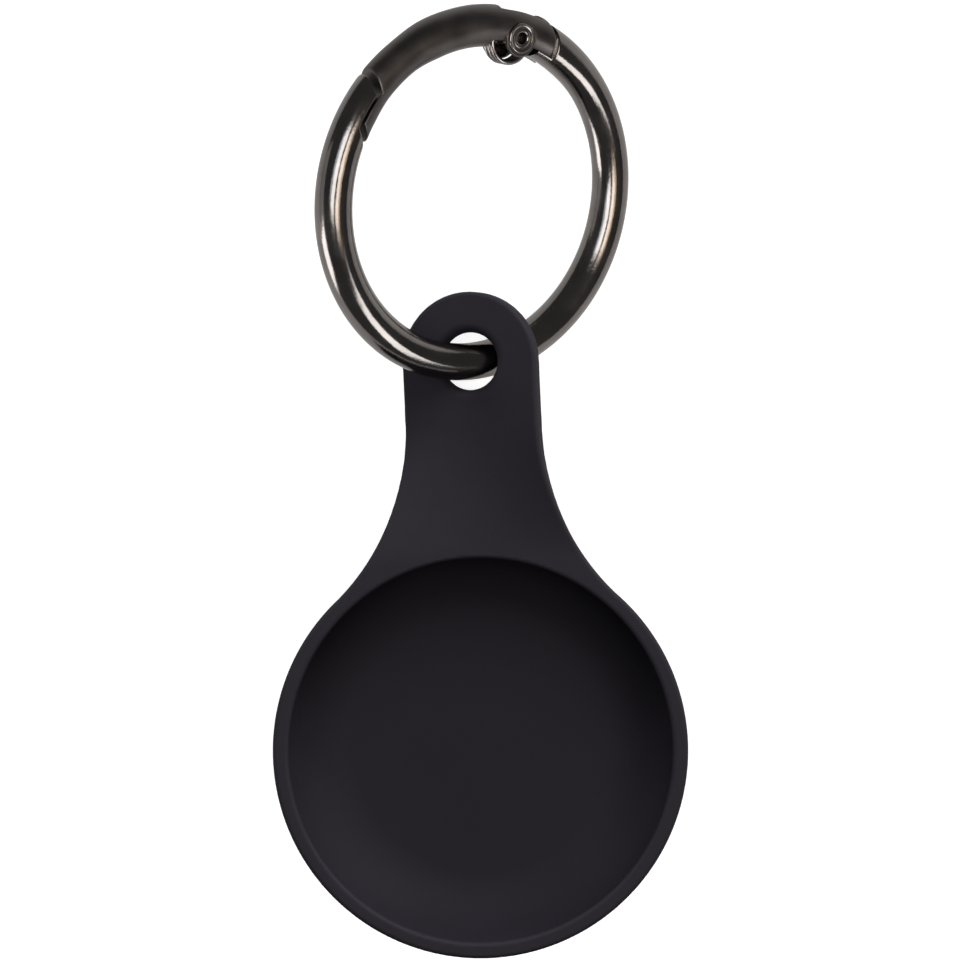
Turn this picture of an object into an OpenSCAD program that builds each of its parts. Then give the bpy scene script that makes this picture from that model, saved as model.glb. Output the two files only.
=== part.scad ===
// Tag holder: a soft dished pocket with a strap, hung on a sprung gate ring.
// It lies on its back. Z points out of the pocket, Y along the strap, and the
// origin is on the pocket's axis at the back face.

/* [Pocket] */
// Diameter of the tag disc that the pocket takes
tag_d = 31.9; // [24:0.1:40]
// Thickness of the tag disc, which is also the pocket's depth
tag_t = 8.0; // [6:0.1:12]
// Gap all round the disc inside the pocket
tag_gap = 0.05; // [0.02:0.01:0.3]
// How far the lip stands in over the edge of the disc
lip_grip = 0.175; // [0.1:0.005:0.4]
// Height of the lip band below the face
lip_h = 1.0; // [0.6:0.1:1.4]
// Thickness of the pocket's side wall
wall_t = 1.05; // [0.8:0.05:2]
// Thickness of the pocket's floor
floor_t = 0.9; // [0.6:0.1:2]
// Radius between the pocket's floor and its wall
dish_r = 5.35; // [3:0.05:5.6]
// Radius between the back face and the side wall
back_r = 6.0; // [3:0.1:6.6]
// Rounding of the rim, inside and outside
rim_r = 0.3; // [0.1:0.05:0.4]

/* [Strap] */
// Width of the strap
strap_w = 11.4; // [9.6:0.1:16]
// Thickness of the strap
strap_t = 1.6; // [1.2:0.1:2]
// Radius of the hollow curve from the pocket into the strap
neck_r = 19.1; // [12:0.1:30]
// Straight length between the end of that curve and the ring hole
strap_straight = 5.1; // [4:0.05:14]
// Where the strap starts to lean, measured from the pocket's axis
lean_from = 14; // [10:0.5:16]
// Lean of the strap to the left
strap_lean = 2.6; // [0:0.1:5]
// Turn of the strap's end about its own length, where the ring pulls it
end_turn = 17; // [12:0.5:20]
// Gap between the ring's wire and the rounded edge of the hole
hole_gap = 0.15; // [0.12:0.01:0.6]

/* [Ring] */
// Inside diameter of the ring
ring_inner_d = 24.55; // [20:0.05:32]
// Diameter of the ring's wire
wire_d = 3.05; // [2.4:0.05:3.4]
// Lean of the ring's long axis to the right
ring_lean = 17.8; // [10:0.1:22]
// Angle round the ring from its top, clockwise, to the strap hole
hole_angle = 159.8; // [156:0.1:170]
// Height of the ring's low side above the table
table_gap = 1.1; // [0.8:0.05:1.5]

/* [Gate] */
// Diameter of the gate, which is as thin as the ring at its nose
gate_d = 3.4; // [3.2:0.1:4]
// Angle round the ring from its top, clockwise, to the hinge
hinge_angle = -7; // [-12:0.1:0]
// Angle round the ring from the hinge to the gate's nose
nose_angle = -59.8; // [-70:0.1:-50]
// Angle round the ring from the hinge to the end of the nose's inner lip
lip_angle = -76.5; // [-84:0.5:-72]
// Angle round the ring from the hinge to where the gate starts to swell
swell_angle = -43; // [-48:0.5:-36]
// Angle over which the gate swells to its full diameter
swell_arc = 10; // [6:0.5:16]
// How far the hinge lies inside the wire's centre line
hinge_inset = 0.63; // [0.5:0.01:0.8]
// Length of the gate's tail past the hinge
tail_len = 3.6; // [3.4:0.05:5]
// Gap between the ends of the gate and the ring
end_gap = 0.45; // [0.3:0.05:0.6]
// Gap between the nose's lip and the ring's lap
lap_gap = 0.2; // [0.1:0.01:0.25]
// Thickness of the gate's side cheeks where the hinge goes through
cheek_t = 0.35; // [0.25:0.01:0.6]
// Thickness of the gate's crown over the middle of the hinge slot
crown_t = 0.8; // [0.75:0.05:0.85]
// Width of the hinge slot
slot_w = 2.6; // [2.5:0.05:2.8]
// Distance from the hinge to the closed end of the slot
slot_end = 2.4; // [2.35:0.05:3]
// Width of the window through the crown
window_w = 1.7; // [1:0.1:2]
// Length of that window before the hinge, towards the nose
window_back = 1.9; // [1:0.1:2.2]
// Length of that window past the hinge, towards the tail
window_len = 2.3; // [1:0.1:3]
// Diameter of the boss round the hinge
boss_d = 3.2; // [2.8:0.1:3.6]

/* [Hinge] */
// Thickness of the ring's tongue
tongue_t = 0.6; // [0.5:0.05:0.65]
// Diameter of the eye at the tongue's end
eye_d = 2.6; // [2.4:0.1:2.7]
// Gap on each side of the tongue and of the spring
side_gap = 0.05; // [0.03:0.01:0.06]
// Outside diameter of the rivet's barrel
rivet_d = 1.5; // [1.2:0.05:1.8]
// Bore of the hollow rivet
rivet_bore = 0.95; // [0.6:0.05:1]
// Diameter of the rivet's rolled heads
head_d = 2.45; // [2.1:0.05:2.7]
// Thickness of a rolled head
head_t = 0.24; // [0.16:0.02:0.3]
// Gap round the rivet in the tongue, where it turns
turn_gap = 0.05; // [0.02:0.01:0.09]
// Gap round the rivet in the gate's cheeks, where it is clenched
clench_gap = 0.01; // [0.01:0.005:0.02]

/* [Spring] */
// Diameter of the spring's wire
spring_wire_d = 0.32; // [0.24:0.01:0.34]
// Outside diameter of the coil
coil_d = 3.6; // [3.4:0.1:3.7]
// How far the loose coil drops towards the middle of the ring
coil_drop = 0.52; // [0.48:0.01:0.56]
// How far the loose coil shifts towards the gate's nose
coil_shift = 0.38; // [0.2:0.01:0.4]
// Whole curls in the coil
coil_curls = 2; // [1:1:2]
// Slope of the leg that bears on the ring, down from the gate's tail
leg_slope = 15; // [10:1:20]
// Depth of the hole that each leg sits in
seat_depth = 0.5; // [0.35:0.05:0.8]
// Gap round a leg in its hole
seat_gap = 0.05; // [0.03:0.01:0.1]

/* [Hidden] */
$fn = 96;

// Overrun of every cut, and of a piece that ends inside its neighbour
over = 0.5;
// Step between the turned part of the strap and its neighbours
seam = 0.01;
// How far each flat part of the strap runs into the turned part
flat_over = 0.05;
// Sections in the turned part of the strap
turn_steps = 12;
// Sides of the spring's tube, and its rings in one curl
spring_sides = 6;
curl_rings = 8;
// Steps in which the gate swells
swell_steps = 4;

// Pocket
cavity_r = tag_d / 2 + tag_gap;
mouth_r = tag_d / 2 - lip_grip;
outer_r = cavity_r + wall_t;
body_h = floor_t + tag_t;
// The strap's hollow curves run into the pocket's wall by the seam
join_r = outer_r - seam;

// Strap: its axis starts at lean_from and runs along strap_dir
strap_hw = strap_w / 2;
strap_mid_z = body_h - strap_t / 2;
strap_start = [0, lean_from];
strap_dir = [-sin(strap_lean), cos(strap_lean)];
strap_side = [cos(strap_lean), sin(strap_lean)];
neck_offset = strap_hw + neck_r;

// Distance along the strap's axis to the centre of the neck curve on one side
function neck_run(side) =
    let (
        along = strap_start * strap_dir,
        across = strap_start * strap_side,
        square_sum = strap_start * strap_start + neck_offset ^ 2
            + 2 * side * neck_offset * across - (join_r + neck_r) ^ 2
    )
    sqrt(along ^ 2 - square_sum) - along;

function neck_centre(side) =
    strap_start + side * neck_offset * strap_side + neck_run(side) * strap_dir;

// Half width of the strap on one side, at a distance along its axis
function half_width(side, run) =
    run >= neck_run(side)
        ? strap_hw
        : neck_offset - sqrt(neck_r ^ 2 - (run - neck_run(side)) ^ 2);

turn_from_share = 0.12;
turn_end = max(neck_run(1), neck_run(-1));
turn_start = turn_end * turn_from_share;
hole_run = turn_end + strap_straight;
hole_xy = strap_start + hole_run * strap_dir;
hole_at = [hole_xy.x, hole_xy.y, strap_mid_z];

// Ring: it leans until its low side is table_gap above the table
wire_r = wire_d / 2;
ring_r = ring_inner_d / 2 + wire_r;
ring_tilt = asin((strap_mid_z - wire_r - table_gap) / (ring_r * (1 - sin(hole_angle))));
ring_right = [
    cos(ring_tilt) * cos(ring_lean),
    -cos(ring_tilt) * sin(ring_lean),
    -sin(ring_tilt)
];
ring_up = [sin(ring_lean), cos(ring_lean), 0];
ring_at = hole_at - ring_r * (sin(hole_angle) * ring_right + cos(hole_angle) * ring_up);

// Hole: wide enough for the wire at the angle at which it passes through
wire_dir = cos(hole_angle) * ring_right - sin(hole_angle) * ring_up;
end_normal = [-sin(end_turn) * strap_side.x, -sin(end_turn) * strap_side.y, cos(end_turn)];
edge_r = strap_t / 2;
hole_r = (wire_r + hole_gap + edge_r) / abs(wire_dir * end_normal) - edge_r;

// Gate and hinge, in the ring's own plane with the hinge at +Y
gate_r = gate_d / 2;
hinge_r = ring_r - hinge_inset;
hinge_at = [0, hinge_r];
slot_hw = slot_w / 2;
cheek_z = slot_hw + cheek_t;
tongue_low = -slot_hw + side_gap;
tongue_top = tongue_low + tongue_t;
slot_roof_r = ring_r + gate_r - crown_t;
tongue_roof_r = slot_roof_r - lap_gap;
rivet_r = rivet_d / 2;

// Distance from the hinge to a point at a radius and an angle of the ring
function hinge_reach(radius, angle) =
    norm(radius * [sin(angle), cos(angle)] - hinge_at);

nose_reach = hinge_reach(ring_r + wire_r / 2, nose_angle);
lip_reach = hinge_reach(ring_r - wire_r / 2, lip_angle);
ring_span = ring_r + gate_r + over;
tail_angle = 2 * asin((tail_len + over) / (2 * ring_r));

// Spring: one tube from the seat in the gate, round the coil, to the seat in the ring
coil_r = (coil_d - spring_wire_d) / 2;
coil_at = hinge_at - [coil_shift, coil_drop];
coil_front_z = slot_hw - side_gap - spring_wire_d / 2;
coil_back_z = tongue_top + side_gap + spring_wire_d / 2;
coil_sweep = 360 * coil_curls + leg_slope;
coil_rings = ceil(coil_sweep / 360 * curl_rings);
seat_r = spring_wire_d / 2 + seat_gap;

gate_leg_end = [hinge_at.x - slot_end - seat_depth + seat_gap, coil_at.y + coil_r, coil_front_z];
ring_leg_from = [coil_at.x + coil_r * sin(leg_slope), coil_at.y + coil_r * cos(leg_slope), coil_back_z];
ring_leg_dir = [cos(leg_slope), -sin(leg_slope), 0];
leg_offset = [ring_leg_from.x - hinge_at.x, ring_leg_from.y - hinge_at.y, 0];
shoulder_r = tail_len + end_gap;
ring_leg_len =
    sqrt(shoulder_r ^ 2 - leg_offset * leg_offset + (leg_offset * ring_leg_dir) ^ 2)
    - leg_offset * ring_leg_dir;
ring_leg_end = ring_leg_from + (ring_leg_len + seat_depth - seat_gap) * ring_leg_dir;

function coil_point(share) =
    let (turned = 90 - coil_sweep * share)
    [
        coil_at.x + coil_r * cos(turned),
        coil_at.y + coil_r * sin(turned),
        coil_front_z + (coil_back_z - coil_front_z) * share
    ];

spring_path = concat(
    [gate_leg_end],
    [gate_leg_end + [spring_wire_d, 0, 0]],
    [for (i = [0 : coil_rings]) coil_point(i / coil_rings)],
    [ring_leg_end - spring_wire_d * ring_leg_dir],
    [ring_leg_end]
);

// Least gap of the coil to itself, between points at least half a curl apart
coil_gap = min([
    for (i = [0 : coil_rings])
        for (j = [i + curl_rings / 2 : 1 : coil_rings])
            norm(coil_point(i / coil_rings) - coil_point(j / coil_rings)) - spring_wire_d
]);
echo(least_spring_gap_mm = coil_gap);

function unit(v) = v / norm(v);

function path_dir(path, i) =
    unit(path[min(i + 1, len(path) - 1)] - path[max(i - 1, 0)]);

// One six-sided ring of the tube, square to its path
function tube_ring(path, i, radius, sides) =
    let (
        ahead = path_dir(path, i),
        across = unit(cross(ahead, [0, 0, 1])),
        up = cross(across, ahead)
    )
    [for (k = [0 : sides - 1])
        path[i] + radius * (cos(360 * k / sides) * across + sin(360 * k / sides) * up)];

module tube(path, radius, sides) {
    last = len(path) - 1;
    points = [for (i = [0 : last]) each tube_ring(path, i, radius, sides)];
    walls = [
        for (i = [0 : last - 1])
            for (k = [0 : sides - 1])
                let (
                    a = i * sides + k,
                    b = i * sides + (k + 1) % sides,
                    c = a + sides,
                    d = b + sides
                )
                each [[a, b, d], [a, d, c]]
    ];
    caps = [
        for (k = [1 : sides - 2])
            each [[0, k + 1, k], [last * sides, last * sides + k, last * sides + k + 1]]
    ];
    polyhedron(points = points, faces = concat(walls, caps));
}

// Frames

module along_strap() {
    translate([strap_start.x, strap_start.y, strap_mid_z])
        rotate([0, 0, strap_lean])
            children();
}

module in_ring_plane() {
    translate(ring_at)
        rotate([0, 0, -ring_lean])
            rotate([0, ring_tilt, 0])
                rotate([0, 0, -hinge_angle])
                    children();
}

module at_hinge() {
    translate([hinge_at.x, hinge_at.y, 0])
        children();
}

module hinge_disc(radius, height) {
    at_hinge()
        cylinder(r = radius, h = height, center = true);
}

// Holder

module bowl() {
    side_x = outer_r - back_r;
    rotate_extrude() {
        square([side_x, body_h]);
        translate([0, back_r])
            square([outer_r, body_h - back_r - rim_r]);
        translate([side_x, back_r])
            intersection() {
                circle(back_r);
                translate([0, -back_r])
                    square(back_r);
            }
        translate([0, body_h - 2 * rim_r])
            square([outer_r - rim_r, 2 * rim_r]);
        translate([outer_r - rim_r, body_h - rim_r])
            circle(rim_r);
    }
}

module pocket_space() {
    floor_x = cavity_r - dish_r;
    wall_z = floor_t + dish_r;
    step = cavity_r - mouth_r;
    lip_z = body_h - lip_h;
    rotate_extrude() {
        translate([0, floor_t])
            square([floor_x, body_h]);
        translate([floor_x, wall_z])
            intersection() {
                circle(dish_r);
                translate([0, -dish_r])
                    square(dish_r);
            }
        polygon([
            [0, wall_z],
            [cavity_r, wall_z],
            [cavity_r, lip_z - step],
            [mouth_r, lip_z],
            [mouth_r, body_h + over],
            [0, body_h + over]
        ]);
        translate([mouth_r, body_h - rim_r])
            difference() {
                square([rim_r, rim_r + over]);
                translate([rim_r, 0])
                    circle(rim_r);
            }
    }
}

// The flat neck, between the two hollow curves
module neck() {
    left = neck_centre(-1);
    right = neck_centre(1);
    tangent = join_r / (join_r + neck_r);
    translate([0, 0, body_h - strap_t])
        linear_extrude(strap_t)
            difference() {
                polygon([[0, 0], tangent * right, right, left, tangent * left]);
                translate(right)
                    circle(neck_r);
                translate(left)
                    circle(neck_r);
                translate(strap_start + (turn_start + flat_over) * strap_dir)
                    rotate(strap_lean)
                        translate([-neck_offset, 0])
                            square([2 * neck_offset, turn_end]);
            }
}

// Share of the whole turn at a distance along the strap, with a smooth start and end
function turn_at(run) =
    let (share = max(0, min(1, (run - turn_start) / (turn_end - turn_start))))
    end_turn * share ^ 2 * (3 - 2 * share);

function strap_section(run, inset) =
    let (
        left = half_width(-1, run) - inset,
        right = half_width(1, run) - inset,
        half_t = strap_t / 2 - inset,
        turn = turn_at(run)
    )
    [for (corner = [[-left, -half_t], [right, -half_t], [right, half_t], [-left, half_t]])
        [
            corner.x * cos(turn) - corner.y * sin(turn),
            run,
            corner.x * sin(turn) + corner.y * cos(turn)
        ]];

module turned_strap() {
    runs = concat(
        [turn_start - over],
        [for (i = [0 : turn_steps]) turn_start + (turn_end - turn_start) * i / turn_steps],
        [turn_end + over]
    );
    last = len(runs) - 1;
    walls = [
        for (i = [0 : last - 1])
            for (k = [0 : 3])
                let (
                    a = 4 * i + k,
                    b = 4 * i + (k + 1) % 4,
                    c = a + 4,
                    d = b + 4
                )
                each [[a, b, d], [a, d, c]]
    ];
    caps = [
        [0, 2, 1],
        [0, 3, 2],
        [4 * last, 4 * last + 1, 4 * last + 2],
        [4 * last, 4 * last + 2, 4 * last + 3]
    ];
    along_strap()
        polyhedron(
            points = [for (run = runs) each strap_section(run, seam)],
            faces = concat(walls, caps)
        );
}

// The strap's end lies in its own turned plane, with the hole at its centre
module at_strap_end() {
    along_strap()
        rotate([0, -end_turn, 0])
            translate([0, hole_run, 0])
                children();
}

module strap_end() {
    at_strap_end()
        translate([0, 0, -strap_t / 2])
            linear_extrude(strap_t) {
                circle(strap_hw);
                translate([-strap_hw, -strap_straight - flat_over])
                    square([strap_w, strap_straight + flat_over]);
            }
}

module strap_hole() {
    at_strap_end()
        rotate_extrude()
            difference() {
                translate([0, -edge_r - over])
                    square([hole_r + edge_r, strap_t + 2 * over]);
                translate([hole_r + edge_r, 0])
                    circle(edge_r);
            }
}

module holder() {
    color([0.13, 0.13, 0.14])
        difference() {
            union() {
                bowl();
                neck();
                turned_strap();
                strap_end();
            }
            pocket_space();
            strap_hole();
        }
}

// Ring

module torus(radius) {
    rotate_extrude()
        translate([ring_r, 0])
            circle(radius);
}

// The space on the nose side, where the gate lies, with a gap added to its outline
module nose_space(gap, lap) {
    intersection() {
        translate([-2 * ring_span + hinge_at.x, -ring_span, -ring_span])
            cube(2 * ring_span);
        union() {
            hinge_disc(nose_reach + gap, gate_d + over);
            intersection() {
                hinge_disc(lip_reach + gap, gate_d + over);
                cylinder(r = ring_r + lap, h = gate_d + 2 * over, center = true);
            }
        }
    }
}

module tongue_space() {
    intersection() {
        translate([hinge_at.x, 0, tongue_low])
            cube([ring_r, ring_span, tongue_t]);
        cylinder(r = tongue_roof_r, h = gate_d, center = true);
    }
}

module ring_leg_seat() {
    translate(ring_leg_end + seat_gap * ring_leg_dir)
        rotate([0, 0, -leg_slope])
            rotate([0, -90, 0])
                cylinder(r = seat_r, h = seat_depth + over);
}

module ring_body() {
    color([0.24, 0.22, 0.22])
        in_ring_plane()
            difference() {
                union() {
                    difference() {
                        torus(wire_r);
                        nose_space(end_gap, lap_gap / 2);
                        difference() {
                            hinge_disc(shoulder_r, gate_d + over);
                            tongue_space();
                        }
                    }
                    at_hinge()
                        translate([0, 0, tongue_low])
                            cylinder(d = eye_d, h = tongue_t);
                }
                hinge_disc(rivet_r + turn_gap, gate_d + over);
                ring_leg_seat();
            }
}

// Gate

// The gate's bar is as thin as the ring's wire at its nose, and swells in small steps
module gate_bar() {
    torus(wire_r);
    for (i = [1 : swell_steps])
        let (
            from = swell_angle + swell_arc * (i - 1) / (swell_steps - 1),
            radius = wire_r + (gate_r - wire_r) * i / swell_steps
        )
        rotate([0, 0, 90 - tail_angle])
            rotate_extrude(angle = tail_angle - from)
                translate([ring_r, 0])
                    circle(radius);
}

module gate_blank() {
    intersection() {
        gate_bar();
        union() {
            nose_space(0, -lap_gap / 2);
            hinge_disc(tail_len, gate_d + over);
        }
    }
}

module hinge_slot() {
    intersection() {
        translate([hinge_at.x - slot_end, 0, -slot_hw])
            cube([slot_end + tail_len + over, ring_span, slot_w]);
        cylinder(r = slot_roof_r, h = gate_d, center = true);
    }
}

module crown_window() {
    translate([hinge_at.x - window_back, hinge_at.y, -window_w / 2])
        cube([window_back + window_len, ring_span, window_w]);
}

module bosses() {
    for (side = [0, 1])
        mirror([0, 0, side])
            at_hinge()
                translate([0, 0, slot_hw])
                    cylinder(d = boss_d, h = cheek_t);
}

// Flats on the bosses, where the rivet's heads bear
module spot_faces() {
    for (side = [0, 1])
        mirror([0, 0, side])
            at_hinge()
                translate([0, 0, cheek_z])
                    cylinder(d = boss_d, h = over);
}

module gate_leg_seat() {
    translate(gate_leg_end - [seat_gap, 0, 0])
        rotate([0, 90, 0])
            cylinder(r = seat_r, h = seat_depth + over);
}

module gate() {
    color([0.2, 0.19, 0.2])
        in_ring_plane()
            difference() {
                union() {
                    difference() {
                        gate_blank();
                        hinge_slot();
                        crown_window();
                    }
                    bosses();
                }
                spot_faces();
                hinge_disc(rivet_r + clench_gap, gate_d + 2 * over);
                gate_leg_seat();
            }
}

// Hinge rivet and spring

module rivet_half() {
    roll_r = head_t / 2;
    rotate_extrude() {
        translate([rivet_bore / 2, 0])
            square([rivet_r - rivet_bore / 2, cheek_z + roll_r]);
        translate([rivet_bore / 2 + roll_r, cheek_z])
            square([head_d / 2 - rivet_bore / 2 - head_t, head_t]);
        for (x = [rivet_bore / 2 + roll_r, head_d / 2 - roll_r])
            translate([x, cheek_z + roll_r])
                circle(roll_r);
    }
}

module hinge_rivet() {
    color([0.45, 0.44, 0.43])
        in_ring_plane()
            at_hinge()
                for (side = [0, 1])
                    mirror([0, 0, side])
                        rivet_half();
}

module torsion_spring() {
    color([0.4, 0.39, 0.38])
        in_ring_plane()
            tube(spring_path, spring_wire_d / 2, spring_sides);
}

holder();
ring_body();
gate();
hinge_rivet();
torsion_spring();
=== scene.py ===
import math

import bpy
import numpy as np
from mathutils import Matrix, Vector


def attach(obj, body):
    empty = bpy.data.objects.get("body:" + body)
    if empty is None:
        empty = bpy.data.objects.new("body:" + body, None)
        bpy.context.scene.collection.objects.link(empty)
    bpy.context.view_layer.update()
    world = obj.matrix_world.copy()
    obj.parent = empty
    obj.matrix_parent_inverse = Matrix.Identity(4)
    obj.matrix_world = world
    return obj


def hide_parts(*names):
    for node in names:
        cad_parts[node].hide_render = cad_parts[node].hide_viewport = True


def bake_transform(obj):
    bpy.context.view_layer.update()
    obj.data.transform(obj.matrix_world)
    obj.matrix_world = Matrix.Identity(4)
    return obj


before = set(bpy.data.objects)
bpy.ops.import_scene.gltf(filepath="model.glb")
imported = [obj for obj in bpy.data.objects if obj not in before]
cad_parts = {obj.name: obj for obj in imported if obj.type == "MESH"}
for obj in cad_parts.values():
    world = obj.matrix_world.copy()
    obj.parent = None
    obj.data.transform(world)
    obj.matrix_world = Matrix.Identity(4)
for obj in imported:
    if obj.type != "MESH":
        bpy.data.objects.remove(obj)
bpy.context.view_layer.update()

MM = 0.001
TINY = 1e-9

# Pocket and strap, in mm
CAVITY_R = 16.0
MOUTH_R = 15.775
OUTER_R = 17.05
SEAM = 0.01
BODY_H = 8.9
FLOOR_T = 0.9
DISH_R = 5.35
BACK_R = 6.0
RIM_R = 0.3
LIP_H = 1.0
STRAP_HW = 5.7
STRAP_T = 1.6
STRAP_EDGE_R = 0.3
NECK_R = 19.1
STRAP_STRAIGHT = 5.1
LEAN_FROM = 14.0
STRAP_LEAN = math.radians(2.6)
END_TURN = math.radians(17)
TURN_FROM_SHARE = 0.12
HOLE_R = 2.358
HOLE_EDGE_FLAT = 0.01
JOIN_R = 0.7
JOIN_LEAST_R = 0.001
JOIN_FADE = (-0.6, -2.2)
JOIN_BELOW = 1
STRAP_MID_Z = BODY_H - STRAP_T / 2
HOLDER_X = (-18.0, 18.0)
HOLDER_Y = (-18.0, 39.0)
HOLDER_Z = (-0.61, 11.2)
HOLDER_STEP = 0.2
HOLDER_SETTLE = 0.03

# Ring and gate, in mm and in the ring's own plane, with the hinge at +Y
RING_AT = np.array((-0.465921, 45.4588, 10.987614))
RING_RIGHT = np.array((0.789006, -0.125325, -0.601468))
RING_UP = np.array((0.211113, 0.974668, 0.073851))
RING_NORMAL = np.cross(RING_RIGHT, RING_UP)
RING_R = 13.8
WIRE_R = 1.525
GATE_R = 1.7
HINGE = (0.0, 13.17)
NOSE_REACH = 13.8769
LIP_REACH = 16.2252
END_GAP = 0.45
LAP_GAP = 0.2
TAIL_LEN = 3.6
SHOULDER_R = 4.05
SLOT_END = 2.4
SLOT_HW = 1.3
SLOT_ROOF_R = 14.7
WINDOW_HW = 0.85
WINDOW_BACK = 1.9
WINDOW_LEN = 2.3
BOSS_R = 1.42
BOSS_AT = (0.11, 13.06)
HINGE_REACH = 2.7
CHEEK_Z = 1.65
TONGUE_LOW = -1.25
TONGUE_TOP = -0.65
TONGUE_ROOF_R = 14.5
EYE_R = 1.6
EYE_AT = (-0.2, 12.82)
EYE_HOLE_R = 0.8
ROOT_FROM = 2.5
ROOT_Z = 1.2
CHEEK_HOLE_R = 0.76
ARM_PROUD = 0.2
ARM_BITE = 0.6

# Rounding radii of the metal's edges, in mm
NOSE_EDGE_R = 0.2
SHOULDER_EDGE_R = 0.12
PLATE_EDGE_R = 0.08
ARM_END_R = 0.01
EYE_EDGE_R = 0.06
EYE_HOLE_EDGE_R = 0.02
ROOT_EDGE_R = 0.1
GATE_EDGE_R = 0.14
SLOT_EDGE_R = 0.07
BOSS_EDGE_R = 0.08
CHEEK_HOLE_EDGE_R = 0.01

# Where the metal is thicker: by how much in mm, and over which degrees from the hinge
SHOULDER_SWELL = 0.17
SHOULDER_SWELL_AT = (42, 20)
LIP_SWELL = 0.08
LIP_SWELL_AT = (-60, -72)
CROWN_SWELL = 0.05
CROWN_RISES_AT = (-26, -14)
CROWN_FALLS_AT = (9, 0)
GATE_TAPERS_AT = (-47, -32)
INNER_SIDE = (0.6, -1.2)

# Grids of the ring and the gate: (degrees, step) stretches, and steps and margins in mm
RING_STRETCHES = ((-9, 0.08), (21, 0.35), (273, 0.08), (305, 0.08))
GATE_STRETCHES = ((-86, 0.08), (20, 0.08))
RING_STEP = 0.08
GATE_STEP = 0.07
GRID_LOW_MARGIN = 0.13
GRID_HIGH_MARGIN = 0.2
SETTLE_PARTS = 5

# Rivet, in mm
RIVET_BARREL_R = 0.75
RIVET_BORE_R = 0.475
RIVET_HEAD_R = 1.225
RIVET_ROLL_R = 0.12
RIVET_LIP_R = 0.14
RIVET_LIP_ROOM = 0.1
RIVET_DISH = 0.07
RIVET_SIDES = 64
ROLL_STEPS = 8
LIP_STEPS = 6

# Spring, in mm
COIL_AT = (-0.38, 12.65)
COIL_R = 1.64
COIL_WIRE_R = 0.2
COIL_TURNS = 3
COIL_TOP_Z = 1.05
COIL_LOW_Z = -0.4
LEG_SLOPE = math.radians(15)
GATE_LEG_X = -2.85
RING_LEG_END = (4.48466, 13.0444)
TURN_SEGMENTS = 32
WIRE_SIDES = 12


# Rounded solids from distance fields: negative inside, in mm

LEAST_SLOPE = 0.5
LONGEST_MOVE = 4  # in reaches, at each step


def both(a, b, r):
    """The part inside both a and b, with its edge rounded."""
    corner = np.hypot(np.maximum(a + r, 0), np.maximum(b + r, 0))
    return np.minimum(-r, np.maximum(a, b)) + corner


def either(a, b, r):
    """The part inside a or b, with its inner corner rounded."""
    corner = np.hypot(np.maximum(r - a, 0), np.maximum(r - b, 0))
    return np.maximum(r, np.minimum(a, b)) - corner


def smooth_step(low, high, value):
    """Rise smoothly from 0 at low to 1 at high, which may be the smaller number."""
    share = np.clip((value - low) / (high - low), 0, 1)
    return share * share * (3 - 2 * share)


def slope(field, points, reach):
    """Gradient of a field at the points, by central differences."""
    columns = []
    for axis in range(3):
        ahead = points.copy()
        behind = points.copy()
        ahead[:, axis] += reach
        behind[:, axis] -= reach
        columns.append((field(*ahead.T) - field(*behind.T)) / (2 * reach))
    return np.stack(columns, 1)


def surface_net(field, grids, place=None):
    """Quads round a field's zero surface, sampled on a grid of three sorted axes."""
    place = place or (lambda x, y, z: (x, y, z))
    values = np.empty([len(g) for g in grids], np.float32)
    for i, x in enumerate(grids[0]):
        y, z = np.meshgrid(grids[1], grids[2], indexing="ij")
        values[i] = field(*place(np.full_like(y, x), y, z))
    inside = values < 0
    cells = tuple(len(g) - 1 for g in grids)
    keys, spots = [], []
    for axis in range(3):
        near = [slice(None)] * 3
        far = [slice(None)] * 3
        near[axis] = slice(0, -1)
        far[axis] = slice(1, None)
        first = np.argwhere(inside[tuple(near)] != inside[tuple(far)])
        last = first.copy()
        last[:, axis] += 1
        a = values[tuple(first.T)]
        b = values[tuple(last.T)]
        spot = np.stack([grids[k][first[:, k]] for k in range(3)], 1)
        width = grids[axis][last[:, axis]] - grids[axis][first[:, axis]]
        spot[:, axis] += width * a / (a - b)
        u, v = (axis + 1) % 3, (axis + 2) % 3
        quad = []
        for du, dv in ((-1, -1), (0, -1), (0, 0), (-1, 0)):
            cell = first.copy()
            cell[:, u] += du
            cell[:, v] += dv
            quad.append(np.ravel_multi_index(tuple(cell.T), cells))
        quad = np.stack(quad, 1)
        out = a >= 0
        quad[out] = quad[out][:, ::-1]
        keys.append(quad)
        spots.append(np.repeat(spot, 4, axis=0))
    keys = np.concatenate(keys)
    spots = np.concatenate(spots)
    _, index = np.unique(keys.ravel(), return_inverse=True)
    index = index.ravel()
    share = np.bincount(index)
    points = np.stack([np.bincount(index, spots[:, k]) / share for k in range(3)], 1)
    points = np.stack(place(*points.T), 1)
    return points, index.reshape(-1, 4)


def settle(field, points, reach, steps=4):
    """Move the points of a net onto the surface, and return its normals there."""
    for _ in range(steps):
        normal = slope(field, points, reach)
        size = np.maximum((normal ** 2).sum(1), LEAST_SLOPE ** 2)
        move = -(field(*points.T) / size)[:, None] * normal
        length = np.maximum(np.linalg.norm(move, axis=1), TINY)
        points = points + move * np.minimum(1, LONGEST_MOVE * reach / length)[:, None]
    normal = slope(field, points, reach)
    return points, normal / np.maximum(np.linalg.norm(normal, axis=1), TINY)[:, None]


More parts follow.
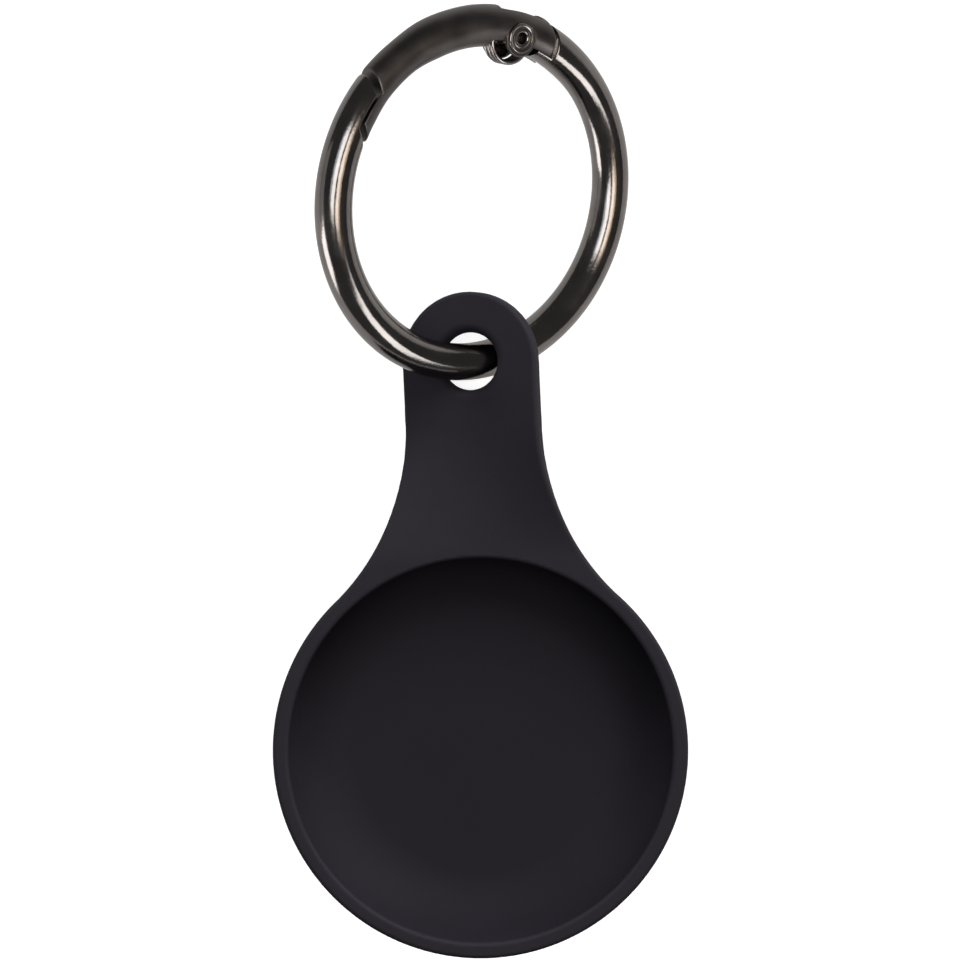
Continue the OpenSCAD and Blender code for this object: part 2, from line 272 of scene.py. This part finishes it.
def add_mesh(name, points, faces, normals=None):
    """A smooth mesh object from points in mm."""
    mesh = bpy.data.meshes.new(name)
    mesh.vertices.add(len(points))
    mesh.vertices.foreach_set("co", (np.asarray(points) * MM).astype(np.float32).ravel())
    size = faces.shape[1]
    mesh.loops.add(faces.size)
    mesh.loops.foreach_set("vertex_index", faces.astype(np.int32).ravel())
    mesh.polygons.add(len(faces))
    mesh.polygons.foreach_set("loop_start", np.arange(0, faces.size, size, dtype=np.int32))
    mesh.update(calc_edges=True)
    mesh.validate()
    mesh.polygons.foreach_set("use_smooth", np.ones(len(mesh.polygons), bool))
    if normals is not None:
        mesh.normals_split_custom_set_from_vertices(normals.astype(np.float32))
    obj = bpy.data.objects.new(name, mesh)
    bpy.context.scene.collection.objects.link(obj)
    return obj


# Holder

START = np.array((0.0, LEAN_FROM))
ALONG = np.array((-math.sin(STRAP_LEAN), math.cos(STRAP_LEAN)))
SIDE = np.array((math.cos(STRAP_LEAN), math.sin(STRAP_LEAN)))
NECK_OFFSET = STRAP_HW + NECK_R


def neck_run(side):
    """How far along the strap the centre of that side's neck curve lies."""
    along = START @ ALONG
    across = START @ SIDE
    rest = START @ START + NECK_OFFSET ** 2 + 2 * side * NECK_OFFSET * across
    return math.sqrt(along ** 2 - rest + (OUTER_R - SEAM + NECK_R) ** 2) - along


NECK_RUN = {side: neck_run(side) for side in (1, -1)}
TURN_END = max(NECK_RUN.values())
TURN_START = TURN_END * TURN_FROM_SHARE
HOLE_RUN = TURN_END + STRAP_STRAIGHT


def strap_outline(u, run):
    """Distance to the strap's outline in its own plane, neck curves included."""
    edges = []
    for side in (1, -1):
        centre_u = side * NECK_OFFSET
        curve = NECK_R - np.hypot(u - centre_u, run - NECK_RUN[side])
        edges.append(np.where(run > NECK_RUN[side], side * u - STRAP_HW, curve))
    body = np.maximum(edges[0], edges[1])
    end = np.hypot(u, run - HOLE_RUN) - STRAP_HW
    body = np.where(run > HOLE_RUN, end, body)
    low = []
    for side in (1, -1):
        centre = START + side * NECK_OFFSET * SIDE + NECK_RUN[side] * ALONG
        square = np.array((-centre[1], centre[0])) / np.linalg.norm(centre)
        x = START[0] + u * SIDE[0] + run * ALONG[0]
        y = START[1] + u * SIDE[1] + run * ALONG[1]
        low.append(-side * (x * square[0] + y * square[1]))
    return np.maximum(body, np.maximum(low[0], low[1]))


def holder_field(x, y, z):
    """Body, necks and turned strap, less the pocket and the strap's hole."""
    r = np.hypot(x, y)
    wall = r - OUTER_R
    side_z = np.hypot(np.maximum(r - (OUTER_R - BACK_R), 0), np.maximum(BACK_R - z, 0)) - BACK_R
    low = np.where(z < BACK_R, np.where(r > OUTER_R - BACK_R, side_z, -z), wall)
    low = np.maximum(low, -z)

    run = (x - START[0]) * ALONG[0] + (y - START[1]) * ALONG[1]
    across = (x - START[0]) * SIDE[0] + (y - START[1]) * SIDE[1]
    turn = END_TURN * smooth_step(TURN_START, TURN_END, run)
    height = z - STRAP_MID_Z
    u = across * np.cos(turn) + height * np.sin(turn)
    w = -across * np.sin(turn) + height * np.cos(turn)
    outline = strap_outline(u, run)
    plan = np.minimum(wall, outline)

    plate = both(outline, np.abs(w) - STRAP_T / 2, STRAP_EDGE_R)
    flush = np.where(run > 0, np.maximum(w, height), height) - STRAP_T / 2
    bowl = both(low, flush, RIM_R)
    top = both(plan, np.where(run > 0, w, height) - STRAP_T / 2, RIM_R)
    join = JOIN_R * smooth_step(*JOIN_FADE, outline) * (z < BODY_H - JOIN_BELOW)
    under = np.maximum(outline, -w - STRAP_T / 2)
    merged = np.maximum(top, either(under, low, np.maximum(join, JOIN_LEAST_R)))
    solid = np.minimum(plate, bowl)
    solid = np.where(join > 0, np.minimum(solid, merged), solid)

    lip_z = BODY_H - LIP_H
    step = CAVITY_R - MOUTH_R
    floor_x = CAVITY_R - DISH_R
    wall_z = FLOOR_T + DISH_R
    dish = np.hypot(np.maximum(r - floor_x, 0), np.maximum(wall_z - z, 0)) - DISH_R
    cavity = np.where(z < wall_z, np.where(r > floor_x, dish, FLOOR_T - z), r - CAVITY_R)
    cavity = np.maximum(cavity, FLOOR_T - z)
    over = (r + z - (CAVITY_R + lip_z - step)) / math.sqrt(2)
    cavity = np.where(z > lip_z - step, np.maximum(cavity, over), cavity)
    cavity = np.where(z > lip_z, r - MOUTH_R, cavity)
    rim = both(z - BODY_H, MOUTH_R - r, RIM_R)
    rimmed = np.where(r < MOUTH_R + 2 * RIM_R, np.maximum(solid, rim), solid)
    solid = np.where(z > BODY_H - 2 * RIM_R, rimmed, np.maximum(solid, -cavity))

    from_hole = np.hypot(u, run - HOLE_RUN)
    hole = both(np.abs(w) - STRAP_T / 2, HOLE_R - from_hole, STRAP_T / 2 - HOLE_EDGE_FLAT)
    return np.where(run > HOLE_RUN - STRAP_HW, np.maximum(solid, hole), solid)


def make_holder():
    """Mesh the holder as one soft-edged skin."""
    step = HOLDER_STEP
    grids = [
        np.arange(HOLDER_X[0], HOLDER_X[1] + step, step),
        np.arange(HOLDER_Y[0], HOLDER_Y[1] + step, step),
        np.arange(HOLDER_Z[0], HOLDER_Z[1], step),
    ]
    points, faces = surface_net(holder_field, grids)
    points, normals = settle(holder_field, points, HOLDER_SETTLE)
    skin = add_mesh("holder_skin", points, faces, normals)
    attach(skin, "holder")
    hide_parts("holder")
    return skin


# Ring and gate

def turn_to_row(vectors):
    """Turn vectors from the ring's own frame into the row frame."""
    return vectors[:, :1] * RING_RIGHT + vectors[:, 1:2] * RING_UP + vectors[:, 2:] * RING_NORMAL


def ring_to_row(points):
    """Place points of the ring's own frame in the row frame."""
    return RING_AT + points[:, :1] * RING_RIGHT + points[:, 1:2] * RING_UP + points[:, 2:] * RING_NORMAL


def round_ring(arc, out, z):
    """Place a grid point given by its arc length, radius and height."""
    angle = arc / RING_R
    return out * np.sin(angle), out * np.cos(angle), z


def hinge_distance(x, y):
    """Distance from the hinge in the ring's plane."""
    return np.hypot(x - HINGE[0], y - HINGE[1])


def from_hinge_angle(x, y):
    """Degrees round the ring from the hinge, clockwise."""
    return np.degrees(np.arctan2(x, y))


def tube_field(x, y, z, radius):
    """The full ring of wire."""
    return np.hypot(np.hypot(x, y) - RING_R, z) - radius


def nose_field(x, y, gap, lap):
    """The gate's side of the stepped cut at its nose, grown by the gap and the lap."""
    from_hinge = hinge_distance(x, y)
    lip = np.maximum(from_hinge - LIP_REACH - gap, np.hypot(x, y) - RING_R - lap)
    return np.maximum(x - HINGE[0], np.minimum(from_hinge - NOSE_REACH - gap, lip))


def ring_body_field(x, y, z):
    """The C of wire with its tongue, the eye on it and the block that fills the tongue's root."""
    from_hinge = hinge_distance(x, y)
    out = np.hypot(x, y)
    swell = SHOULDER_SWELL * smooth_step(*SHOULDER_SWELL_AT, from_hinge_angle(x, y))
    swell = swell * smooth_step(*INNER_SIDE, out - RING_R)
    swell = np.where(x > 0, swell, 0)
    tube = tube_field(x, y, z, WIRE_R + swell)
    body = both(tube, -nose_field(x, y, END_GAP, LAP_GAP / 2), NOSE_EDGE_R)
    solid = both(body, SHOULDER_R - from_hinge, SHOULDER_EDGE_R)

    middle = (TONGUE_LOW + TONGUE_TOP) / 2
    thick = (TONGUE_TOP - TONGUE_LOW) / 2
    flat = np.abs(z - middle) - thick
    bitten = from_hinge - SHOULDER_R - ARM_BITE
    plate = np.maximum(flat, np.maximum(out - TONGUE_ROOF_R, RING_R - GATE_R - out))
    plate = np.maximum(plate, -x)
    arm = both(both(tube - ARM_PROUD, plate, PLATE_EDGE_R), bitten, ARM_END_R)
    arm = np.where(from_hinge > SHOULDER_R, np.maximum(arm, body), arm)
    eye = both(np.hypot(x - EYE_AT[0], y - EYE_AT[1]) - EYE_R, flat, EYE_EDGE_R)
    root = np.maximum(ROOT_FROM - from_hinge, bitten)
    root = np.maximum(root, np.maximum(-x, out - TONGUE_ROOF_R))
    root = both(both(tube, root, ROOT_EDGE_R), np.abs(z) - ROOT_Z, ROOT_EDGE_R)
    solid = np.minimum(np.minimum(solid, root), np.minimum(arm, eye))
    return both(solid, EYE_HOLE_R - from_hinge, EYE_HOLE_EDGE_R)


def gate_field(x, y, z):
    """The gate: its slot for the tongue, the window in its crown, and the boss round the rivet."""
    from_hinge = hinge_distance(x, y)
    out = np.hypot(x, y)
    angle = from_hinge_angle(x, y)
    inner = smooth_step(*INNER_SIDE, out - RING_R)
    radius = WIRE_R + (GATE_R - WIRE_R) * smooth_step(*GATE_TAPERS_AT, angle)
    radius = radius + LIP_SWELL * smooth_step(*LIP_SWELL_AT, angle) * inner
    crown = CROWN_SWELL * smooth_step(*CROWN_RISES_AT, angle) * smooth_step(*CROWN_FALLS_AT, angle)
    radius = radius + crown * (1 - inner)
    ends = np.minimum(nose_field(x, y, 0, -LAP_GAP / 2), from_hinge - TAIL_LEN)
    solid = both(tube_field(x, y, z, radius), ends, GATE_EDGE_R)

    slot = np.maximum(HINGE[0] - SLOT_END - x, np.abs(z) - SLOT_HW)
    slot = np.maximum(np.maximum(slot, out - SLOT_ROOF_R), -y)
    window = np.maximum(HINGE[0] - WINDOW_BACK - x, x - HINGE[0] - WINDOW_LEN)
    window = np.maximum(np.maximum(window, np.abs(z) - WINDOW_HW), HINGE[1] - y)
    solid = both(solid, -slot, SLOT_EDGE_R)
    solid = both(solid, -window, SLOT_EDGE_R)

    from_boss = np.hypot(x - BOSS_AT[0], y - BOSS_AT[1])
    cheek = np.abs(np.abs(z) - (SLOT_HW + CHEEK_Z) / 2) - (CHEEK_Z - SLOT_HW) / 2
    solid = np.minimum(solid, both(from_boss - BOSS_R, cheek, BOSS_EDGE_R))
    spot = np.maximum(from_boss - BOSS_R, CHEEK_Z - np.abs(z))
    solid = np.maximum(solid, -spot)
    return both(solid, CHEEK_HOLE_R - from_hinge, CHEEK_HOLE_EDGE_R)


def arc_steps(stretches):
    """Sorted grid along the ring from (degrees, step) pairs, each step running to the next."""
    marks = []
    for (start, step), (end, _) in zip(stretches, stretches[1:]):
        length = math.radians(end - start) * RING_R
        count = max(2, round(length / step))
        marks.append(math.radians(start) * RING_R + np.linspace(0, length, count, endpoint=False))
    marks.append([math.radians(stretches[-1][0]) * RING_R])
    return np.concatenate(marks)


def make_ring_part(name, field, stretches, step, body, node):
    """Mesh a field along the ring, as a piece that replaces the node."""
    reach = GATE_R
    grids = [
        arc_steps(stretches),
        RING_R + np.arange(-HINGE_REACH, reach + GRID_HIGH_MARGIN, step),
        np.arange(-reach - GRID_LOW_MARGIN, reach + GRID_HIGH_MARGIN, step),
    ]
    points, faces = surface_net(field, grids, round_ring)
    points, normals = settle(field, points, step / SETTLE_PARTS)
    part = add_mesh(name, ring_to_row(points), faces, turn_to_row(normals))
    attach(part, body)
    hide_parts(node)
    return part


def lathe(profile, sides, centre):
    """Quads that turn a closed outline of (radius, height) round an axis along the ring's normal."""
    count = len(profile)
    points = []
    for k in range(sides):
        angle = 2 * math.pi * k / sides
        for r, z in profile:
            points.append((centre[0] + r * math.cos(angle), centre[1] + r * math.sin(angle), z))
    faces = []
    for k in range(sides):
        for i in range(count):
            a = k * count + i
            b = k * count + (i + 1) % count
            c = (k + 1) % sides * count + (i + 1) % count
            d = (k + 1) % sides * count + i
            faces.append((a, d, c, b))
    return np.array(points), np.array(faces)


def make_rivet():
    """Hollow rivet: a barrel whose two ends are rolled outwards."""
    inner = RIVET_HEAD_R - RIVET_ROLL_R
    flat = RIVET_HEAD_R - 2 * RIVET_ROLL_R - RIVET_BORE_R - RIVET_LIP_ROOM
    top = CHEEK_Z + 2 * RIVET_ROLL_R
    half = []
    for i in range(ROLL_STEPS + 1):
        angle = math.radians(-90 + 180 * i / ROLL_STEPS)
        half.append((
            inner + RIVET_ROLL_R * math.cos(angle),
            CHEEK_Z + RIVET_ROLL_R + RIVET_ROLL_R * math.sin(angle),
        ))
    for share in (0.25, 0.5, 0.75):
        half.append((inner - share * flat, top - RIVET_DISH * math.sin(math.pi * share)))
    for i in range(LIP_STEPS + 1):
        angle = math.radians(90 + 90 * i / LIP_STEPS)
        half.append((
            RIVET_BORE_R + RIVET_LIP_R + RIVET_LIP_R * math.cos(angle),
            top - RIVET_LIP_R + RIVET_LIP_R * math.sin(angle),
        ))
    half = [(RIVET_BARREL_R, 0.0), (RIVET_BARREL_R, CHEEK_Z)] + half + [(RIVET_BORE_R, 0.0)]
    outline = half + [(r, -z) for r, z in reversed(half[1:-1])]
    points, faces = lathe(outline, RIVET_SIDES, HINGE)
    part = add_mesh("rivet_skin", ring_to_row(points), faces)
    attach(part, "gate")
    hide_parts("hinge_rivet")
    return part


def sweep(path, radius, sides):
    """Round tube along a path, with closed ends."""
    path = np.array(path)
    ahead = np.gradient(path, axis=0)
    ahead /= np.linalg.norm(ahead, axis=1)[:, None]
    across = np.cross(ahead, (0, 0, 1))
    across /= np.linalg.norm(across, axis=1)[:, None]
    up = np.cross(across, ahead)
    angles = np.arange(sides) * 2 * math.pi / sides
    ring = np.cos(angles)[None, :, None] * across[:, None]
    ring = ring + np.sin(angles)[None, :, None] * up[:, None]
    points = (path[:, None] + radius * ring).reshape(-1, 3)
    faces = []
    for i in range(len(path) - 1):
        for k in range(sides):
            a = i * sides + k
            b = i * sides + (k + 1) % sides
            faces.append((a, b, b + sides, a + sides))
    end = (len(path) - 1) * sides
    for k in range(sides // 2 - 1):
        near = sides - 1 - k
        far = sides - 2 - k
        faces.append((k + 1, k, near, far))
        faces.append((end + k, end + k + 1, end + far, end + near))
    return points, np.array(faces)[:, ::-1]


def make_spring():
    """The coil, with one leg in the gate's crown and one against the ring."""
    sweep_turn = 2 * math.pi * COIL_TURNS + LEG_SLOPE
    path = []
    for share in (0, 0.3, 0.6, 0.85):
        leg_x = GATE_LEG_X + share * (COIL_AT[0] - GATE_LEG_X)
        path.append((leg_x, COIL_AT[1] + COIL_R, COIL_TOP_Z))
    segments = TURN_SEGMENTS * COIL_TURNS
    for i in range(segments + 1):
        share = i / segments
        angle = math.pi / 2 - sweep_turn * share
        path.append((
            COIL_AT[0] + COIL_R * math.cos(angle),
            COIL_AT[1] + COIL_R * math.sin(angle),
            COIL_TOP_Z + (COIL_LOW_Z - COIL_TOP_Z) * share,
        ))
    last = path[-1]
    for share in (0.2, 0.5, 0.8, 1.0):
        path.append((
            last[0] + share * (RING_LEG_END[0] - last[0]),
            last[1] + share * (RING_LEG_END[1] - last[1]),
            last[2],
        ))
    points, faces = sweep(path, COIL_WIRE_R, WIRE_SIDES)
    part = add_mesh("spring_skin", ring_to_row(points), faces)
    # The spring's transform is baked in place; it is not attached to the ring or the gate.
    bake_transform(part)
    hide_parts("torsion_spring")
    return part


# Materials

SILICONE_DARK = (0.0104, 0.0092, 0.0122)
SILICONE_PALE = (0.0121, 0.0107, 0.0142)
SILICONE_ROUGH = (0.64, 0.72)
SILICONE_IOR = 1.41
SILICONE_SPECULAR = 0.1
SILICONE_SHEEN = (0.95, 0.9, 1.0, 1)


def new_material(name):
    """A material with its nodes, its links and its main shader."""
    material = bpy.data.materials.new(name)
    material.use_nodes = True
    nodes = material.node_tree.nodes
    return material, nodes, material.node_tree.links, nodes["Principled BSDF"]


def noise(nodes, links, scale, detail):
    """Noise in object coordinates, which are in metres."""
    place = nodes.new("ShaderNodeTexCoord")
    texture = nodes.new("ShaderNodeTexNoise")
    texture.inputs["Scale"].default_value = scale
    texture.inputs["Detail"].default_value = detail
    links.new(place.outputs["Object"], texture.inputs["Vector"])
    return texture.outputs["Fac"]


def ramp(nodes, links, source, stops):
    """Colour ramp of (place, grey or colour) stops."""
    node = nodes.new("ShaderNodeValToRGB")
    elements = node.color_ramp.elements
    while len(elements) < len(stops):
        elements.new(0.5)
    for element, (at, value) in zip(elements, stops):
        element.position = at
        element.color = (*value, 1) if isinstance(value, tuple) else (value, value, value, 1)
    links.new(source, node.inputs["Fac"])
    return node.outputs["Color"]


def bump(nodes, links, height, strength, distance, under=None):
    """Fine relief, on top of another one if given."""
    node = nodes.new("ShaderNodeBump")
    node.inputs["Strength"].default_value = strength
    node.inputs["Distance"].default_value = distance
    links.new(height, node.inputs["Height"])
    if under:
        links.new(under, node.inputs["Normal"])
    return node.outputs["Normal"]


def silicone_material():
    """Matte black silicone with a faint cloud in its colour and a fine grain."""
    material, nodes, links, shader = new_material("matte_silicone")
    cloud = noise(nodes, links, scale=160, detail=4)
    grain = noise(nodes, links, scale=5200, detail=2)
    tint = ramp(nodes, links, cloud, [(0.3, SILICONE_DARK), (0.7, SILICONE_PALE)])
    rough = ramp(nodes, links, cloud, [(0.3, SILICONE_ROUGH[0]), (0.7, SILICONE_ROUGH[1])])
    relief = bump(nodes, links, grain, strength=0.25, distance=0.00002)
    links.new(tint, shader.inputs["Base Color"])
    links.new(rough, shader.inputs["Roughness"])
    links.new(relief, shader.inputs["Normal"])
    shader.inputs["IOR"].default_value = SILICONE_IOR
    shader.inputs["Specular IOR Level"].default_value = SILICONE_SPECULAR
    shader.inputs["Specular Tint"].default_value = SILICONE_SHEEN
    return material


def metal_material(name, dark, pale, rough, speckle):
    """Dark plated metal with soft waves under a fine speckle."""
    material, nodes, links, shader = new_material(name)
    shader.inputs["Metallic"].default_value = 1.0
    cloud = noise(nodes, links, scale=420, detail=4)
    grain = noise(nodes, links, scale=7000, detail=3)
    wave = noise(nodes, links, scale=900, detail=2)
    tint = ramp(nodes, links, cloud, [(0.35, dark), (0.7, pale)])
    gloss = ramp(nodes, links, cloud, [(0.35, rough[0]), (0.7, rough[1])])
    soft = bump(nodes, links, wave, strength=0.2, distance=0.00004)
    relief = bump(nodes, links, grain, strength=speckle, distance=0.000015, under=soft)
    links.new(tint, shader.inputs["Base Color"])
    links.new(gloss, shader.inputs["Roughness"])
    links.new(relief, shader.inputs["Normal"])
    return material


def dress(obj, material):
    """Give the object this material alone."""
    obj.data.materials.clear()
    obj.data.materials.append(material)


holder_skin = make_holder()
ring_skin = make_ring_part(
    "ring_skin", ring_body_field, RING_STRETCHES, RING_STEP, "ring", "ring_body",
)
gate_skin = make_ring_part(
    "gate_skin", gate_field, GATE_STRETCHES, GATE_STEP, "gate", "gate",
)
rivet_skin = make_rivet()
spring_skin = make_spring()

silicone = silicone_material()
ring_metal = metal_material(
    "ring_nickel", dark=(0.19, 0.174, 0.166), pale=(0.24, 0.219, 0.208), rough=(0.11, 0.17), speckle=0.4,
)
gate_metal = metal_material(
    "gate_nickel", dark=(0.1, 0.09, 0.087), pale=(0.135, 0.121, 0.117), rough=(0.34, 0.42), speckle=0.4,
)
rivet_metal = metal_material(
    "rivet_nickel", dark=(0.26, 0.238, 0.227), pale=(0.34, 0.312, 0.295), rough=(0.16, 0.24), speckle=0.2,
)
spring_steel = metal_material(
    "spring_wire", dark=(0.27, 0.25, 0.24), pale=(0.37, 0.346, 0.33), rough=(0.2, 0.28), speckle=0.15,
)

for obj, node, material in (
    (holder_skin, "holder", silicone),
    (ring_skin, "ring_body", ring_metal),
    (gate_skin, "gate", gate_metal),
    (rivet_skin, "hinge_rivet", rivet_metal),
    (spring_skin, "torsion_spring", spring_steel),
):
    dress(obj, material)
    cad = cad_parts[node]
    for slot in cad.material_slots:
        slot.material = material


# Floor, light and camera, in metres

VIEW_CENTRE = (-0.00004, 0.02221)
CAMERA_Z = 0.3759
VIEW_ANGLE = math.radians(12.24)
SENSOR_W = 36
LIT_POINT = Vector((0.0, 0.03, 0.01))
FLOOR_HALF = 3.0
FLOOR_DROP = 0.00003  # keeps the floor clear of the holder's flat back
FLOOR_GREY = (0.5, 0.5, 0.5, 1)
FLOOR_ROUGH = 0.9
FLOOR_SPECULAR = 0.1
# Strengths: for every ray, and what camera rays and metal's rays get on top
FLOOR_GLOW = (0.0, 0.8, 0.2)
WORLD_GLOW = (0.04, 0.96, 0.05)
WHITE = (1, 1, 1)
BLUE = (0.72, 0.86, 1.0)
WARM = (1.0, 0.93, 0.84)
ORANGE = (1.0, 0.78, 0.56)
PANEL_RUN = (0.927, -0.375, 0)
PANEL_DISTANCE = 0.5
BODY_LAMP_DISTANCE = 0.6


def seen_level(nodes, links, base, camera_share, metal_share):
    """A strength made of a base, a share for camera rays and one for glossy and transmission rays."""
    path = nodes.new("ShaderNodeLightPath")
    level = None
    for ray, share in (
        ("Is Camera Ray", camera_share),
        ("Is Glossy Ray", metal_share),
        ("Is Transmission Ray", metal_share),
    ):
        step = nodes.new("ShaderNodeMath")
        step.operation = "MULTIPLY_ADD"
        step.inputs[1].default_value = share
        step.inputs[2].default_value = base
        links.new(path.outputs[ray], step.inputs[0])
        if level is not None:
            links.new(level, step.inputs[2])
        level = step.outputs[0]
    return level


def make_floor():
    """A plain pale floor that glows for the camera and a little for metal."""
    low, high = -FLOOR_HALF, FLOOR_HALF
    corners = [(low, low, 0), (high, low, 0), (high, high, 0), (low, high, 0)]
    mesh = bpy.data.meshes.new("floor")
    mesh.from_pydata(corners, [], [(0, 1, 2, 3)])
    floor = bpy.data.objects.new("floor", mesh)
    floor.location.z = -FLOOR_DROP
    bpy.context.scene.collection.objects.link(floor)
    material, nodes, links, shader = new_material("pale_floor")
    shader.inputs["Base Color"].default_value = FLOOR_GREY
    shader.inputs["Roughness"].default_value = FLOOR_ROUGH
    shader.inputs["Specular IOR Level"].default_value = FLOOR_SPECULAR
    glow = nodes.new("ShaderNodeEmission")
    total = nodes.new("ShaderNodeAddShader")
    links.new(seen_level(nodes, links, *FLOOR_GLOW), glow.inputs["Strength"])
    links.new(shader.outputs["BSDF"], total.inputs[0])
    links.new(glow.outputs["Emission"], total.inputs[1])
    links.new(total.outputs["Shader"], nodes["Material Output"].inputs["Surface"])
    dress(floor, material)
    return floor


def toward_angles(across, up):
    """Direction of a light overhead, in degrees from the vertical each way."""
    return (math.tan(math.radians(across)), math.tan(math.radians(up)), 1.0)


def toward_bearing(bearing, tilt):
    """Direction of a light at a bearing from +X and a tilt from the vertical, in degrees."""
    bearing = math.radians(bearing)
    tilt = math.radians(tilt)
    return (math.cos(bearing) * math.sin(tilt), math.sin(bearing) * math.sin(tilt), math.cos(tilt))


def make_light(name, toward, distance, spread, radiance, tint=WHITE, across=None):
    """Area light of even radiance that spreads over two angles as the object sees it."""
    light = bpy.data.lights.new(name, "AREA")
    light.shape = "RECTANGLE"
    width, height = (2 * distance * math.tan(math.radians(angle / 2)) for angle in spread)
    light.size = width
    light.size_y = height
    light.energy = radiance * math.pi * width * height
    light.color = tint
    obj = bpy.data.objects.new(name, light)
    bpy.context.scene.collection.objects.link(obj)
    back = Vector(toward).normalized()
    side = Vector(across) if across else Vector((-back.y, back.x, 0))
    side = (side - side.dot(back) * back).normalized()
    obj.location = LIT_POINT + back * distance
    obj.rotation_mode = "QUATERNION"
    obj.rotation_quaternion = Matrix((side, back.cross(side), back)).transposed().to_quaternion()
    return obj


def light_only(name, objects):
    """A set of the objects that some lamps are limited to."""
    group = bpy.data.collections.new(name)
    for obj in objects:
        group.objects.link(obj)
    return group


floor = make_floor()

for name, across, up, spread, radiance, tint in (
    ("panel_edge", -16.3, 1.0, (8, 30), 2.0, BLUE),
    ("panel_left", -2.6, -4.5, (19, 35), 4.6, WHITE),
    ("panel_right", 22.9, -11.9, (15, 27), 4.5, WARM),
    ("panel_end", 35.1, -16.4, (10, 22), 2.2, ORANGE),
):
    make_light(name, toward_angles(across, up), PANEL_DISTANCE, spread, radiance, tint, PANEL_RUN)

# These light the metal and the floor but not the holder, as flags would keep them off it
metal_lit = light_only("metal_lit", (ring_skin, gate_skin, rivet_skin, spring_skin, floor))
for name, bearing, tilt, distance, spread, radiance in (
    ("low_left", 211, 80, 0.25, (28, 28), 4.4),
    ("low_right", 314, 65, 0.4, (28, 22), 4.1),
    ("left_glow", 190, 76, 0.6, (60, 26), 0.42),
):
    lamp = make_light(name, toward_bearing(bearing, tilt), distance, spread, radiance)
    lamp.light_linking.receiver_collection = metal_lit

# These light the holder alone, from the far side as in the photograph
body_lit = light_only("body_lit", (holder_skin,))
for name, bearing, tilt, spread, radiance in (
    ("body_key", 76, 40, (45, 35), 6.2),
    ("far_right", 42, 78, (40, 20), 20.0),
    ("far_left", 138, 78, (40, 20), 11.0),
):
    lamp = make_light(name, toward_bearing(bearing, tilt), BODY_LAMP_DISTANCE, spread, radiance)
    lamp.light_linking.receiver_collection = body_lit

world = bpy.data.worlds.new("studio")
bpy.context.scene.world = world
world.use_nodes = True
nodes = world.node_tree.nodes
links = world.node_tree.links
background = nodes["Background"]
background.inputs["Color"].default_value = (*WHITE, 1)
links.new(seen_level(nodes, links, *WORLD_GLOW), background.inputs["Strength"])

camera = bpy.data.cameras.new("camera")
camera.sensor_width = SENSOR_W
camera.lens = SENSOR_W / 2 / math.tan(VIEW_ANGLE / 2)
camera_obj = bpy.data.objects.new("camera", camera)
bpy.context.scene.collection.objects.link(camera_obj)
camera_obj.location = (*VIEW_CENTRE, CAMERA_Z)
bpy.context.scene.camera = camera_obj
bpy.context.scene.view_settings.view_transform = "Standard"
